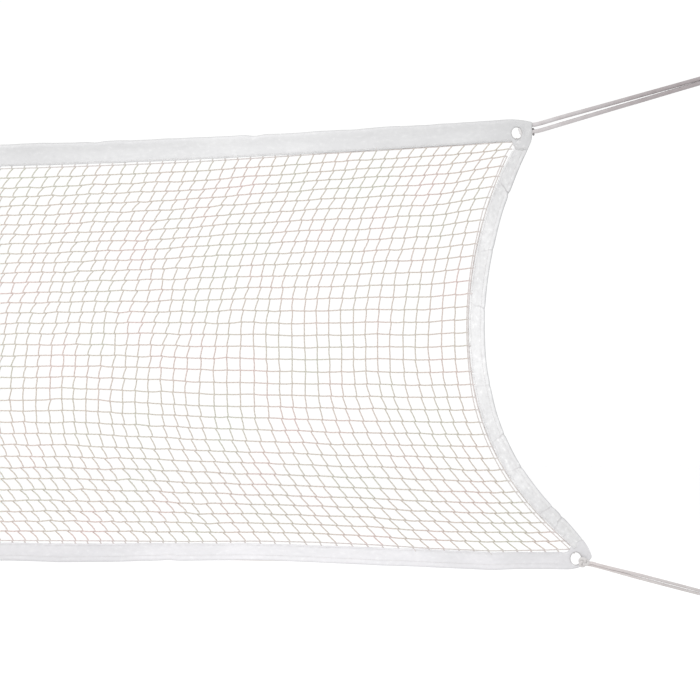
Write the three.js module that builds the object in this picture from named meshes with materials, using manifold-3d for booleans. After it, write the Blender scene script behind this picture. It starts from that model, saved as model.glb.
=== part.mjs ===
// A short white court net, taped on all four sides and hung by cord ties at its corners.
// Millimetres, +Z up. X runs along the net, and Y is its thickness.
// The origin is on the fold of the head tape, at mid-span.
import * as THREE from 'three';
import { mergeVertices } from 'three/addons/utils/BufferGeometryUtils.js';
import Module from 'manifold-3d';

const wasm = await Module();
wasm.setup();

// ---- driving dimensions -------------------------------------------------------------------
const HALF_SPAN = 1525; // half of the head tape's length
const HEAD_SAG = 56; // rise of the head tape from mid-span to its ends
const CORNER_DROOP = 8; // how far the head tape's last stretch bends down
const DROOP_LENGTH = 50;
const FOOT_Z = -746.5; // the foot tape's lower edge at mid-span
const FOOT_DIP = 18.5; // how far the foot corners are pulled below it
const FOOT_HALF_FLAT = 1450; // where the dip is complete
const FOOT_DIP_POWER = 4.5;
const FOOT_STRAIGHT = 500; // the foot edge is straight this far out from mid-span
const FOOT_CORNER_X = 1590; // where the foot corner's curve begins
const HEAD_TAPE = 40; // heights of the folded tapes
const FOOT_TAPE = 32;
const SIDE_TAPE = 29;
const SIDE_NARROWING = 6; // the side tapes are this much narrower at both ends
const FOLD = 1; // thickness of the cloth at a fold
const PLY = 0.8; // thickness of each of a tape's two layers
const HEAD_CORD = 7.2; // diameters
const FOOT_CORD = 5;
const SIDE_CORD = 3;
const SELVEDGE = 2.2;
const NETTING = 1.6;
const HOLE_RADIUS = 10;
const CORD_ROOM = 1.6; // how much wider a tape's hollow is than the cord in it
const GAP = 0.4; // clearance between pieces that are sewn together
const TAIL_Z = -3; // lower edge of the head tape's corner tails
const TAIL_INNER_X = 1490;
const SIDE_TOP_Z = -7; // the side tapes start here, clear of the tails as the net swings
const NET_MARGIN = 7; // from a side tape's inner edge to the netting
const NET_TOP_MARGIN = 6; // from the head tape's lower edge to the netting
const NET_FOOT_MARGIN = 5;
const NET_TOP_HALF = 1470; // the netting's corners
const NET_FOOT_HALF = 1574;
const HEAD_SELVEDGE_HALF = 1482;
const FOOT_SELVEDGE_HALF = 1584;
const HEAD_SELVEDGE_DROP = 2.5; // from a tape's edge to the middle of the border twine
const FOOT_SELVEDGE_RISE = 2.2;
const PAST = 8; // how far a hollow's cutter runs past the edge that it opens
const FAR_PAST = 20; // and past a corner

// The outer edge of the side tape at +X: two cubic curves that meet at the waist.
const SIDE_UPPER = [[1525, 19], [1522.7, -4], [1439.6, -131.5], [1439.6, -323.3]];
const SIDE_LOWER = [[1439.6, -323.3], [1439.6, -605.8], [1616, -668.1], [1634, -741]];
const SIDE_END = 0.86; // where on the lower curve the side tape ends and the foot corner begins

const HEAD_HOLE = [1498, 28];
const FOOT_HOLE = [1604, -744];

// The foot corner's lower edge runs from FOOT_CORNER_X past this point to the corner's tip.
const FOOT_CORNER_PULL = [1622, -764];
const FOOT_CORNER_FLOOR = [1612, -758.5]; // the bottom of the hollow in the corner
const FOOT_CORNER_TOP = -690; // above the corner's cloth
const FOOT_CORD_ROUTE_HALF = 1586; // the foot cord follows the tape's edge this far
const FOOT_CORD_END = [[1612, -755.2], [1627, -754.8]];

// The ties at +X: a pivot at the corner's mouth, a slope, and the route of the doubled cord,
// as points along the tie and across it.
const HEAD_TIE = {
  pivot: [1533, 37.5],
  slope: 16,
  cord: HEAD_CORD,
  route: [
    [0, 6.3], [50, 6], [100, 5.5], [150, 5], [205, 4.6], [260, 4.2], [318, 3.9], [346, 3.9],
    [368, 10.5], [384, 14.8], [399, 13], [407, 0],
    [399, -13], [384, -14.8], [368, -10.5],
    [346, -3.9], [318, -3.9], [260, -4.2], [205, -4.7], [150, -5], [100, -5.5], [50, -6], [0, -6.2],
  ],
  whipping: [320, 344],
};
const FOOT_TIE = {
  pivot: [1637, -755],
  slope: -14.6,
  cord: FOOT_CORD,
  route: [
    [-4, 3.4], [10, 3], [24, 2.8], [50, 2.8], [80, 3], [110, 3.1], [170, 3.1], [205, 2.9], [227, 2.8],
    [243, 7.6], [256, 11.2], [267, 9.5], [273, 0],
    [267, -9.5], [256, -11.2], [243, -7.6],
    [227, -2.8], [205, -2.9], [170, -3.1], [110, -3.1], [80, -3], [50, -2.8], [24, -2.8],
    [10, -3], [-4, -3.4],
  ],
  whipping: [207, 225],
};
const WHIPPING_WALL = 1.8;
const TIE_STEPS = 66;
const KNOT = { at: [1618, -750.5], radii: [10.5, 4.6, 9.5] };
// The head tie's own end, inside the tape: from the mouth, under the hole, and up past it.
const TIE_END_ROUTE = [
  [1523.6, 31], [1516.5, 25], [1511, 22.8], [1507, 26.5], [1504.5, 32], [1502.5, 37],
];
const HEAD_CORD_HALF = 1518; // the head cord's length in the tape, on each side

// ---- materials ----------------------------------------------------------------------------
const finish = (color, roughness) => ({ color, roughness, metalness: 0 });
const TAPE_CLOTH = finish(0xe9e9eb, 0.62);
const TWINE = finish(0xd9d4ce, 0.7);
const CORD = finish(0xb9adab, 0.8);
const THREAD = finish(0xc9bfbb, 0.75);

// ---- edges of the net ---------------------------------------------------------------------
function headEdge(x) {
  const droop = Math.max(0, (Math.abs(x) - HALF_SPAN + DROOP_LENGTH) / DROOP_LENGTH);
  return HEAD_SAG * (x / HALF_SPAN) ** 2 - CORNER_DROOP * droop ** 2;
}

function footEdge(x) {
  const along = Math.min(1, Math.abs(x) / FOOT_HALF_FLAT);
  return FOOT_Z - FOOT_DIP * along ** FOOT_DIP_POWER;
}

function cubic([p0, p1, p2, p3]) {
  const points = [p0, p1, p2, p3].map(([x, z]) => new THREE.Vector2(x, z));
  return new THREE.CubicBezierCurve(...points);
}

const upperCurve = cubic(SIDE_UPPER);
const lowerCurve = cubic(SIDE_LOWER);

// Points along the side, set in from its outer edge. inset is a number, or a function of how
// far down the side the point is, from 0 to 1.
function sideLine(inset, { from = 0, to = SIDE_END, steps = 12 } = {}) {
  const points = [];
  const add = (curve, t, down) => {
    const p = curve.getPoint(t);
    const along = curve.getTangent(t);
    const by = typeof inset === 'function' ? inset(down) : inset;
    points.push([p.x + along.y * by, p.y - along.x * by]);
  };
  for (let i = 0; i < steps; i += 1) {
    const t = from + ((1 - from) * i) / steps;
    add(upperCurve, t, t / 2);
  }
  for (let i = 0; i <= steps; i += 1) {
    const t = (to * i) / steps;
    add(lowerCurve, t, (1 + t / SIDE_END) / 2);
  }
  return points;
}

const sideWidth = (down) => SIDE_TAPE - SIDE_NARROWING * Math.abs(2 * down - 1) ** 6;

// Where on the upper curve a line that is set in by inset passes a height.
function upperAt(z, inset = 0) {
  let [low, high] = [0, 1];
  for (let i = 0; i < 40; i += 1) {
    const middle = (low + high) / 2;
    const lineZ = upperCurve.getPoint(middle).y - upperCurve.getTangent(middle).x * inset;
    if (lineZ > z) low = middle;
    else high = middle;
  }
  return low;
}

// An edge's points over a range of X.
function edgeLine(edge, from, to, steps) {
  const at = (i) => from + ((to - from) * i) / steps;
  return Array.from({ length: steps + 1 }, (_, i) => [at(i), edge(at(i))]);
}

const mirrored = (points) => points.map(([x, z]) => [-x, z]);
const raised = (edge, by) => (x) => edge(x) + by;

// A closed outline that is the same on both sides of X = 0: its +X half, from the top at
// mid-span round to the bottom at mid-span, and then that half mirrored.
const bothHalves = (right) => [...right, ...mirrored(right).reverse()];

// ---- solids -------------------------------------------------------------------------------
// A flat plate whose outline lies in XZ, thickness thick, centred on Y = 0.
function plate(outline, thick) {
  const kept = outline.filter(([x, z], i) => {
    const [lastX, lastZ] = outline[(i + outline.length - 1) % outline.length];
    return Math.hypot(x - lastX, z - lastZ) > 1e-6;
  });
  const shape = new THREE.Shape(kept.map(([x, z]) => new THREE.Vector2(x, z)));
  const geometry = new THREE.ExtrudeGeometry(shape, { depth: thick, bevelEnabled: false });
  geometry.translate(0, 0, -thick / 2);
  geometry.rotateX(Math.PI / 2);
  return geometry;
}

function toSolid(geometry) {
  const bare = geometry.clone();
  bare.deleteAttribute('normal');
  bare.deleteAttribute('uv');
  const merged = mergeVertices(bare, 1e-4);
  return new wasm.Manifold(new wasm.Mesh({
    numProp: 3,
    vertProperties: new Float32Array(merged.attributes.position.array),
    triVerts: new Uint32Array(merged.index.array),
  }));
}

function toGeometry(solid) {
  const { vertProperties, triVerts } = solid.getMesh();
  const geometry = new THREE.BufferGeometry();
  geometry.setAttribute('position', new THREE.BufferAttribute(new Float32Array(vertProperties), 3));
  geometry.setIndex(new THREE.BufferAttribute(new Uint32Array(triVerts), 1));
  return geometry;
}

function cut(body, ...tools) {
  return toGeometry(tools.reduce((left, tool) => left.subtract(toSolid(tool)), toSolid(body)));
}

function hole([x, z], radius) {
  const geometry = new THREE.CylinderGeometry(radius, radius, 40, 24);
  geometry.translate(x, 0, z);
  return geometry;
}

// A round cord along points in the plane Y = 0.
function cordAlong(points, diameter, steps) {
  const path = new THREE.CatmullRomCurve3(points.map(([x, z]) => new THREE.Vector3(x, 0, z)));
  const corners = Array.from({ length: 8 }, (_, i) => {
    const turn = ((i + 0.5) * Math.PI) / 4;
    return new THREE.Vector2(Math.cos(turn), Math.sin(turn)).multiplyScalar(diameter / 2);
  });
  return new THREE.ExtrudeGeometry(new THREE.Shape(corners), { steps, extrudePath: path });
}

// ---- the net ------------------------------------------------------------------------------
const net = new THREE.Group();

function add(name, geometry, material) {
  const mesh = new THREE.Mesh(geometry, new THREE.MeshStandardMaterial(material));
  mesh.name = name;
  net.add(mesh);
}

// Head tape: a strip folded over the head cord, hollow, open below and at both ends, with a
// tail at each corner that covers the top of the side tape.
function headTape() {
  const upper = edgeLine(headEdge, 0, HALF_SPAN, 26);
  const end = sideLine(0, { steps: 24 }).filter(([, z]) => z > TAIL_Z);
  const tail = [[end.at(-1)[0] - 2, TAIL_Z], [TAIL_INNER_X, TAIL_Z]];
  const lower = edgeLine(raised(headEdge, -HEAD_TAPE), TAIL_INNER_X, 0, 24);
  const inside = [
    ...edgeLine(raised(headEdge, -FOLD), 0, HALF_SPAN, 26),
    [HALF_SPAN + FAR_PAST, headEdge(HALF_SPAN) - FOLD],
    [HALF_SPAN + FAR_PAST, TAIL_Z - FAR_PAST],
    [TAIL_INNER_X - FAR_PAST, TAIL_Z - FAR_PAST],
    ...edgeLine(raised(headEdge, -HEAD_TAPE - PAST), TAIL_INNER_X - 2 * FAR_PAST, 0, 24),
  ];
  return cut(
    plate(bothHalves([...upper, ...end, ...tail, ...lower]), HEAD_CORD + CORD_ROOM + 2 * PLY),
    plate(bothHalves(inside), HEAD_CORD + CORD_ROOM),
    hole(HEAD_HOLE, HOLE_RADIUS),
    hole([-HEAD_HOLE[0], HEAD_HOLE[1]], HOLE_RADIUS),
  );
}

// Foot tape: folded round the foot cord and hollow, open above. Its corners run up to meet
// the side tapes.
function footTape() {
  const thick = FOOT_CORD + CORD_ROOM + 2 * PLY;
  const corner = new THREE.QuadraticBezierCurve(
    new THREE.Vector2(FOOT_CORNER_X, footEdge(FOOT_CORNER_X)),
    new THREE.Vector2(...FOOT_CORNER_PULL),
    new THREE.Vector2(...SIDE_LOWER[3]),
  ).getPoints(6).map((p) => [p.x, p.y]);
  const outer = sideLine(0, { to: 1, steps: 20 }).filter(([, z]) => z < lowerCurve.getPoint(SIDE_END).y);
  const inner = sideLine(sideWidth).at(-1);
  const upper = edgeLine(raised(footEdge, FOOT_TAPE), FOOT_CORNER_X, FOOT_STRAIGHT, 18);
  const lower = edgeLine(footEdge, FOOT_STRAIGHT, FOOT_CORNER_X, 18);
  const right = [...lower, ...corner.slice(1), ...outer.reverse().slice(1)];
  const sideEnd = lowerCurve.getPoint(SIDE_END + 0.004);
  const inside = [
    ...edgeLine(raised(footEdge, FOLD), FOOT_STRAIGHT, FOOT_CORNER_X, 18),
    FOOT_CORNER_FLOOR,
    [SIDE_LOWER[3][0] + FAR_PAST, FOOT_CORNER_FLOOR[1]],
    [SIDE_LOWER[3][0] + FAR_PAST, FOOT_CORNER_TOP],
    [NET_FOOT_HALF, FOOT_CORNER_TOP],
    ...edgeLine(raised(footEdge, FOOT_TAPE + PAST), NET_FOOT_HALF, FOOT_STRAIGHT, 18),
  ];
  return cut(
    plate(bothHalves([...right, [sideEnd.x, sideEnd.y], [inner[0] + 1, inner[1] - GAP], ...upper]), thick),
    plate(bothHalves(inside), FOOT_CORD + CORD_ROOM),
    hole(FOOT_HOLE, HOLE_RADIUS),
    hole([-FOOT_HOLE[0], FOOT_HOLE[1]], HOLE_RADIUS),
  );
}

// Side tape: folded round the side cord and hollow, open towards the netting.
function sideTape(turned) {
  const past = { from: upperAt(SIDE_TOP_Z) - 0.02, to: SIDE_END + 0.02, steps: 14 };
  const strip = [
    ...sideLine(0, { from: upperAt(SIDE_TOP_Z), steps: 14 }),
    ...sideLine(sideWidth, { from: upperAt(SIDE_TOP_Z, SIDE_TAPE), steps: 14 }).reverse(),
  ];
  const inside = [
    ...sideLine(FOLD, past),
    ...sideLine((down) => sideWidth(down) + PAST, past).reverse(),
  ];
  const hollow = SIDE_CORD + CORD_ROOM;
  return cut(plate(turned(strip), hollow + 2 * PLY), plate(turned(inside), hollow));
}

// Netting: a thin sheet with the netting's own outline.
function netting() {
  const top = raised(headEdge, -HEAD_TAPE - NET_TOP_MARGIN);
  const bottom = raised(footEdge, FOOT_TAPE + NET_FOOT_MARGIN);
  const side = sideLine((down) => sideWidth(down) + NET_MARGIN, { steps: 14 })
    .filter(([x, z]) => z < top(x) - PAST && z > bottom(x) + PAST);
  return plate(bothHalves([
    ...edgeLine(top, 0, NET_TOP_HALF, 20),
    ...side,
    ...edgeLine(bottom, NET_FOOT_HALF, FOOT_STRAIGHT, 16),
  ]), NETTING);
}

// A tie's points, from along and across it to the net's own axes.
function tiePoints({ pivot, slope }, route) {
  const angle = THREE.MathUtils.degToRad(slope);
  const [c, s] = [Math.cos(angle), Math.sin(angle)];
  return route.map(([along, across]) => [
    pivot[0] + along * c - across * s,
    pivot[1] + along * s + across * c,
  ]);
}

// The whipping that binds a tie's two strands: a short sleeve with round ends.
function whipping(tie, turned) {
  const [from, to] = tie.whipping;
  const inner = tie.cord / 2 + GAP;
  const apart = tie.route.find(([along]) => along > from - 3)[1];
  const stadium = (radius) => {
    const shape = new THREE.Shape();
    shape.absarc(apart, 0, radius, -Math.PI / 2, Math.PI / 2);
    shape.absarc(-apart, 0, radius, Math.PI / 2, (3 * Math.PI) / 2);
    return shape;
  };
  const sleeve = stadium(inner + WHIPPING_WALL);
  sleeve.holes.push(new THREE.Path(stadium(inner).getPoints(6)));
  const ends = turned(tiePoints(tie, [[from, 0], [to, 0]])).map(([x, z]) => new THREE.Vector3(x, 0, z));
  const geometry = new THREE.ExtrudeGeometry(sleeve, {
    depth: to - from, bevelEnabled: false, curveSegments: 6,
  });
  const along = ends[1].clone().sub(ends[0]).normalize();
  const thickness = new THREE.Vector3(0, 1, 0);
  const across = thickness.clone().cross(along);
  geometry.applyMatrix4(new THREE.Matrix4().makeBasis(across, thickness, along).setPosition(ends[0]));
  return geometry;
}

function knot(turned) {
  const [[x, z]] = turned([KNOT.at]);
  const geometry = new THREE.SphereGeometry(1, 16, 10);
  geometry.scale(...KNOT.radii);
  const front = (FOOT_CORD + CORD_ROOM) / 2 + PLY + GAP;
  geometry.translate(x, -front - KNOT.radii[1], z);
  return geometry;
}

const headCordLine = edgeLine(
  raised(headEdge, -FOLD - CORD_ROOM - HEAD_CORD / 2), -HEAD_CORD_HALF, HEAD_CORD_HALF, 40,
);
const footCordHalf = [
  ...edgeLine(raised(footEdge, FOLD + CORD_ROOM + FOOT_CORD / 2), 0, FOOT_CORD_ROUTE_HALF, 20),
  ...FOOT_CORD_END,
];
const footCordLine = [...mirrored(footCordHalf).reverse().slice(0, -1), ...footCordHalf];

add('head_tape', headTape(), TAPE_CLOTH);
add('head_cord', cordAlong(headCordLine, HEAD_CORD, 48), CORD);
add('head_selvedge', cordAlong(
  edgeLine(raised(headEdge, -HEAD_TAPE - HEAD_SELVEDGE_DROP), -HEAD_SELVEDGE_HALF, HEAD_SELVEDGE_HALF, 40),
  SELVEDGE,
  40,
), TWINE);
add('netting', netting(), TWINE);
add('foot_tape', footTape(), TAPE_CLOTH);
add('foot_cord', cordAlong(footCordLine, FOOT_CORD, 44), CORD);
add('foot_selvedge', cordAlong(
  edgeLine(raised(footEdge, FOOT_TAPE + FOOT_SELVEDGE_RISE), -FOOT_SELVEDGE_HALF, FOOT_SELVEDGE_HALF, 40),
  SELVEDGE,
  40,
), TWINE);

for (const side of ['left', 'right']) {
  const turned = side === 'left' ? mirrored : (points) => points;
  const start = upperAt(SIDE_TOP_Z - 2);
  const cordLine = sideLine(FOLD + CORD_ROOM / 2 + SIDE_CORD / 2, { from: start, to: SIDE_END - 0.01 });
  const edgeTwine = sideLine((down) => sideWidth(down) + NET_MARGIN / 2, {
    from: upperAt(SIDE_TOP_Z - 4), to: SIDE_END - 0.03,
  });
  add(`side_tape_${side}`, sideTape(turned), TAPE_CLOTH);
  add(`side_cord_${side}`, cordAlong(turned(cordLine), SIDE_CORD, 26), CORD);
  add(`side_selvedge_${side}`, cordAlong(turned(edgeTwine), SELVEDGE, 26), TWINE);
  add(`head_tie_end_${side}`, cordAlong(turned(TIE_END_ROUTE), HEAD_CORD, 12), CORD);
  add(`foot_knot_${side}`, knot(turned), CORD);
  for (const [name, tie] of [['head', HEAD_TIE], ['foot', FOOT_TIE]]) {
    const route = turned(tiePoints(tie, tie.route));
    add(`${name}_tie_${side}`, cordAlong(route, tie.cord, TIE_STEPS), CORD);
    add(`${name}_whipping_${side}`, whipping(tie, turned), THREAD);
  }
}

export default net;
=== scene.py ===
# A short white court net: knotted twine mesh, folded and stitched tapes, and doubled cord ties.
# Metres, +Z up, X along the net, and the viewer is on the -Y side.
import math

import bmesh
import bpy
import numpy as np
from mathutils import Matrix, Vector


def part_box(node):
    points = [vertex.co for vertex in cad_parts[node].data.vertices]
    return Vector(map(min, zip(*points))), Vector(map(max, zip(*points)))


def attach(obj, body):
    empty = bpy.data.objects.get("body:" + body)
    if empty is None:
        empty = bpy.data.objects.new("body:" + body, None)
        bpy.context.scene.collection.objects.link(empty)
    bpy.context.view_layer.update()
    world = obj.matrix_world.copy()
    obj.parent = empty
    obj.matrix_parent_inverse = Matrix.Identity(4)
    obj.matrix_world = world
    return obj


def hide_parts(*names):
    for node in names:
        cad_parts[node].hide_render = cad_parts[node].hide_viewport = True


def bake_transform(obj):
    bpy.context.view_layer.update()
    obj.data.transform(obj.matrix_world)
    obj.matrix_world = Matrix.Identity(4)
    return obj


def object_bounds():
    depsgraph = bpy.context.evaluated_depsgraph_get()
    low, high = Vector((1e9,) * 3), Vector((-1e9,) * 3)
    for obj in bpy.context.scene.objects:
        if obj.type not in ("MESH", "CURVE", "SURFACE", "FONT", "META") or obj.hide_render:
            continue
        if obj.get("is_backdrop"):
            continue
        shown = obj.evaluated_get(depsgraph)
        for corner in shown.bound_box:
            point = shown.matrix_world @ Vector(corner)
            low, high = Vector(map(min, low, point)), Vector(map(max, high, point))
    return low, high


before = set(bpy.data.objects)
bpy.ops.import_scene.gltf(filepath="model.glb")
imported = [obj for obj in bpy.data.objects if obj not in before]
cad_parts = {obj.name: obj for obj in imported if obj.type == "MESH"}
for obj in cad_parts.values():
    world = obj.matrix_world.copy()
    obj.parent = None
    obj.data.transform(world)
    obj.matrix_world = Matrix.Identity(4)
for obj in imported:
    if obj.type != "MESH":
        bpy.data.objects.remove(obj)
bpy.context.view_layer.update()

MM = 0.001
SIDES = {"right": 1, "left": -1}

# ---- driving dimensions, as in the frame ----------------------------------------------------
HALF_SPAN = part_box("head_tape")[1].x
HEAD_SAG = 56 * MM
CORNER_DROOP = 8 * MM
DROOP_LENGTH = 50 * MM
FOOT_Z = -746.5 * MM
FOOT_DIP = 18.5 * MM
FOOT_HALF_FLAT = 1450 * MM
FOOT_DIP_POWER = 4.5
HEAD_TAPE = 40 * MM
FOOT_TAPE = 32 * MM
SIDE_TAPE = 29 * MM
SIDE_NARROWING = 6 * MM
PLY = 0.8 * MM
HEAD_CORD = 7.2 * MM
FOOT_CORD = 5 * MM
SIDE_CORD = 3 * MM
SELVEDGE = 2.2 * MM
TWINE = 2.6 * MM
SIDE_UPPER = ((1525, 19), (1522.7, -4), (1439.6, -131.5), (1439.6, -323.3))
SIDE_LOWER = ((1439.6, -323.3), (1439.6, -605.8), (1616, -668.1), (1634, -741))
SIDE_END = 0.86
FOOT_CORNER = ((1588, -763.6), (1620, -763.6), (1634, -741))
HEAD_HOLE = (1498 * MM, 28 * MM)
FOOT_HOLE = (1604 * MM, -744 * MM)
BORDER_GAP = 4.5 * MM  # from a tape's edge to the netting's border twine

# ---- mesh helpers ---------------------------------------------------------------------------


def make_mesh(name, vertices, faces, uvs=None):
    """A smooth mesh object: vertices (n, 3), faces (m, 4) and, if given, a UV for each vertex.
    A face whose last two corners are the same is a triangle.
    """
    keep = np.ones(faces.shape, bool)
    keep[:, 3] = faces[:, 2] != faces[:, 3]
    corners = faces[keep].astype(np.int32)
    starts = np.concatenate([[0], np.cumsum(keep.sum(1))[:-1]]).astype(np.int32)
    mesh = bpy.data.meshes.new(name)
    mesh.vertices.add(len(vertices))
    mesh.vertices.foreach_set("co", np.asarray(vertices, np.float32).ravel())
    mesh.loops.add(len(corners))
    mesh.loops.foreach_set("vertex_index", corners)
    mesh.polygons.add(len(faces))
    mesh.polygons.foreach_set("loop_start", starts)
    mesh.polygons.foreach_set("use_smooth", np.ones(len(faces), bool))
    if uvs is not None:
        layer = mesh.uv_layers.new(name="UVMap")
        layer.data.foreach_set("uv", np.asarray(uvs, np.float32)[corners].ravel())
    mesh.update(calc_edges=True)
    mesh.validate()
    return placed(name, mesh)


def placed(name, data):
    """A new object of that data, in the scene."""
    thing = bpy.data.objects.new(name, data)
    bpy.context.scene.collection.objects.link(thing)
    return thing


def reworked(mesh, change):
    """Runs a bmesh change on a mesh."""
    work = bmesh.new()
    work.from_mesh(mesh)
    change(work)
    work.to_mesh(mesh)
    work.free()


def face_outwards(work):
    bmesh.ops.recalc_face_normals(work, faces=work.faces)


def distances(line):
    """How far along a line each of its points is."""
    return np.concatenate([[0], np.cumsum(np.linalg.norm(np.diff(line, axis=0), axis=1))])


def directions(line, axis=0):
    """The unit direction of a line at each of its points."""
    along = np.gradient(line, axis=axis)
    return along / (np.linalg.norm(along, axis=-1, keepdims=True) + 1e-12)


def columns_of(*arrays):
    """Arrays of the same or of spread-out shapes as the columns of one array."""
    return np.stack(np.broadcast_arrays(*arrays), -1)


def ring_faces(rings, sides):
    """The faces between neighbouring rings of points."""
    n, k = np.meshgrid(np.arange(rings - 1), np.arange(sides), indexing="ij")
    following = (k + 1) % sides
    low, high = n * sides, (n + 1) * sides
    return np.stack([low + k, low + following, high + following, high + k], -1).reshape(-1, 4)


def joined(parts):
    """Several (vertices, quads, uvs) as one."""
    vertices, quads, uvs, start = [], [], [], 0
    for v, q, t in parts:
        vertices.append(v)
        quads.append(q + start)
        uvs.append(t)
        start += len(v)
    return np.concatenate(vertices), np.concatenate(quads), np.concatenate(uvs)


def smoothstep(t):
    t = np.clip(t, 0, 1)
    return t * t * (3 - 2 * t)


def hump(x, centre, width):
    """A smooth hump of height 1 at its centre."""
    return np.exp(-(((x - centre) / width) ** 2))


def looked_up(x, table):
    """The value at x in a table of (place, value)."""
    return np.interp(x, *np.array(table).T)


def wobble(a, b, size, seed):
    """Smooth noise over two coordinates, about -1 to 1, with features of about that size."""
    draw = np.random.default_rng(seed)
    total = 0
    for _ in range(7):
        turn = draw.uniform(0, 2 * math.pi)
        wave = 2 * math.pi / (size * draw.uniform(0.7, 2.2))
        phase = draw.uniform(0, 2 * math.pi)
        total = total + np.sin(wave * (np.cos(turn) * a + np.sin(turn) * b) + phase)
    return total / 3.5


def tubes(lines, radius, sides):
    """Round tubes along lines (strands, points, 3), with open ends. radius fits the lines' shape."""
    lines = np.asarray(lines, float)
    count, rings, _ = lines.shape
    along = directions(lines, 1)
    thick = np.zeros_like(along)
    thick[..., 1] = 1
    thick -= (thick * along).sum(2, keepdims=True) * along
    thick /= np.linalg.norm(thick, axis=2, keepdims=True)
    across = np.cross(thick, along)
    radius = np.broadcast_to(radius, (count, rings))[..., None, None]
    turn = 2 * math.pi * (np.arange(sides) + 0.5) / sides
    around = (
        np.cos(turn)[None, None, :, None] * across[:, :, None]
        + np.sin(turn)[None, None, :, None] * thick[:, :, None]
    )
    vertices = (lines[:, :, None] + radius * around).reshape(-1, 3)
    quads = ring_faces(rings, sides)[None] + (np.arange(count) * rings * sides)[:, None, None]
    step = np.linalg.norm(np.diff(lines, axis=1), axis=2)
    far = np.concatenate([np.zeros((count, 1)), np.cumsum(step, 1)], 1)
    uvs = columns_of(np.arange(sides) / sides, far[..., None]).reshape(-1, 2)
    return vertices, quads.reshape(-1, 4), uvs


def spline(points, step):
    """A smooth centripetal curve through points (n, 3), resampled about step apart."""
    p = np.asarray(points, float)
    p = np.vstack([2 * p[0] - p[1], p, 2 * p[-1] - p[-2]])
    out = []
    for i in range(1, len(p) - 2):
        four = p[i - 1 : i + 3]
        spaces = np.linalg.norm(np.diff(four, axis=0), axis=1) ** 0.5
        knots = np.concatenate([[0], np.cumsum(spaces)])
        t = np.linspace(knots[1], knots[2], 16, endpoint=False)[:, None]
        level = [(four[k], four[k + 1], knots[k], knots[k + 1]) for k in range(3)]
        a = [((hi - t) * left + (t - lo) * right) / (hi - lo) for left, right, lo, hi in level]
        b = [
            ((knots[k + 2] - t) * a[k] + (t - knots[k]) * a[k + 1]) / (knots[k + 2] - knots[k])
            for k in range(2)
        ]
        out.append(((knots[2] - t) * b[0] + (t - knots[1]) * b[1]) / (knots[2] - knots[1]))
    out = np.concatenate([*out, p[-2:-1]])
    return resampled(out, step)


def points_at(at, far, line):
    """A line's points at the distances at, where far is how far along its own points are."""
    return np.stack([np.interp(at, far, line[:, k]) for k in range(line.shape[1])], -1)


def resampled(line, step):
    far = distances(line)
    at = np.linspace(0, far[-1], max(2, int(round(far[-1] / step)) + 1))
    return points_at(at, far, line)


def flat_to_world(points, y=0.0):
    """Points (x, z) in the net's plane as (x, y, z)."""
    points = np.asarray(points, float)
    return np.stack([points[:, 0], np.full(len(points), y), points[:, 1]], 1)


# ---- the net's outline ----------------------------------------------------------------------


def head_edge(x):
    droop = np.maximum(0, (np.abs(x) - HALF_SPAN + DROOP_LENGTH) / DROOP_LENGTH)
    return HEAD_SAG * (x / HALF_SPAN) ** 2 - CORNER_DROOP * droop**2


def foot_edge(x):
    along = np.minimum(1, np.abs(x) / FOOT_HALF_FLAT)
    return FOOT_Z - FOOT_DIP * along**FOOT_DIP_POWER


def bezier(points, t):
    p = np.array(points, float) * MM
    t = np.asarray(t, float)[:, None]
    if len(p) == 4:
        return (
            (1 - t) ** 3 * p[0] + 3 * (1 - t) ** 2 * t * p[1]
            + 3 * (1 - t) * t**2 * p[2] + t**3 * p[3]
        )
    return (1 - t) ** 2 * p[0] + 2 * (1 - t) * t * p[1] + t**2 * p[2]


# The side's outer edge from the top down, the directions inwards from it, and the tape's width.
_t = np.linspace(0, 1, 200)
SIDE_OUTER = np.concatenate([bezier(SIDE_UPPER, _t[:-1]), bezier(SIDE_LOWER, _t)])
SIDE_INWARDS = directions(SIDE_OUTER)[:, ::-1] * (1, -1)
SIDE_DOWN = np.concatenate([_t[:-1] / 2, (1 + _t / SIDE_END) / 2])
SIDE_WIDTH = SIDE_TAPE - SIDE_NARROWING * np.abs(2 * np.minimum(SIDE_DOWN, 1) - 1) ** 6


def side_inset(by):
    """The side's line set in by so much from its outer edge."""
    return SIDE_OUTER + SIDE_INWARDS * np.reshape(by, (-1, 1))


# Down the side: how far the netting's last upright is from the tape.
SIDE_GAPS = ((-760, 6.5), (-450, 6.5), (-390, 4), (-170, 3.5), (-120, 5), (-70, 2.5), (0, 2))
NET_SIDE = side_inset(SIDE_WIDTH + looked_up(SIDE_OUTER[:, 1] / MM, SIDE_GAPS) * MM)

# Folds pressed in across the side tapes: height, slant and darkness, where darkness is the strength of the
# fold's painted shade and also sets how deep it is tucked.
SIDE_CREASES = (
    (-83, 0.55, 1.0), (-184, -0.3, 0.5), (-291, 0.25, 0.6), (-430, 0.1, 0.35), (-518, -0.2, 0.6),
    (-578, 0.2, 0.5), (-649, 0.15, 0.6), (-667, -0.35, 0.7),
)
SIDE_TOP = 7 * MM
SIDE_FOOT = -714 * MM


def side_far(z):
    """How far along its outer edge a side tape is at a height."""
    kept = SIDE_OUTER[SIDE_OUTER[:, 1] < SIDE_TOP]
    return float(np.interp(-z, -kept[:, 1], distances(kept)))


def net_side_x(z):
    return np.interp(z, NET_SIDE[::-1, 1], NET_SIDE[::-1, 0])


# ---- materials ------------------------------------------------------------------------------


THREAD_PITCH = 1.1 * MM
WAVE_SCALE = 0.31  # makes one wave of Blender's wave texture about one unit long


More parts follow.
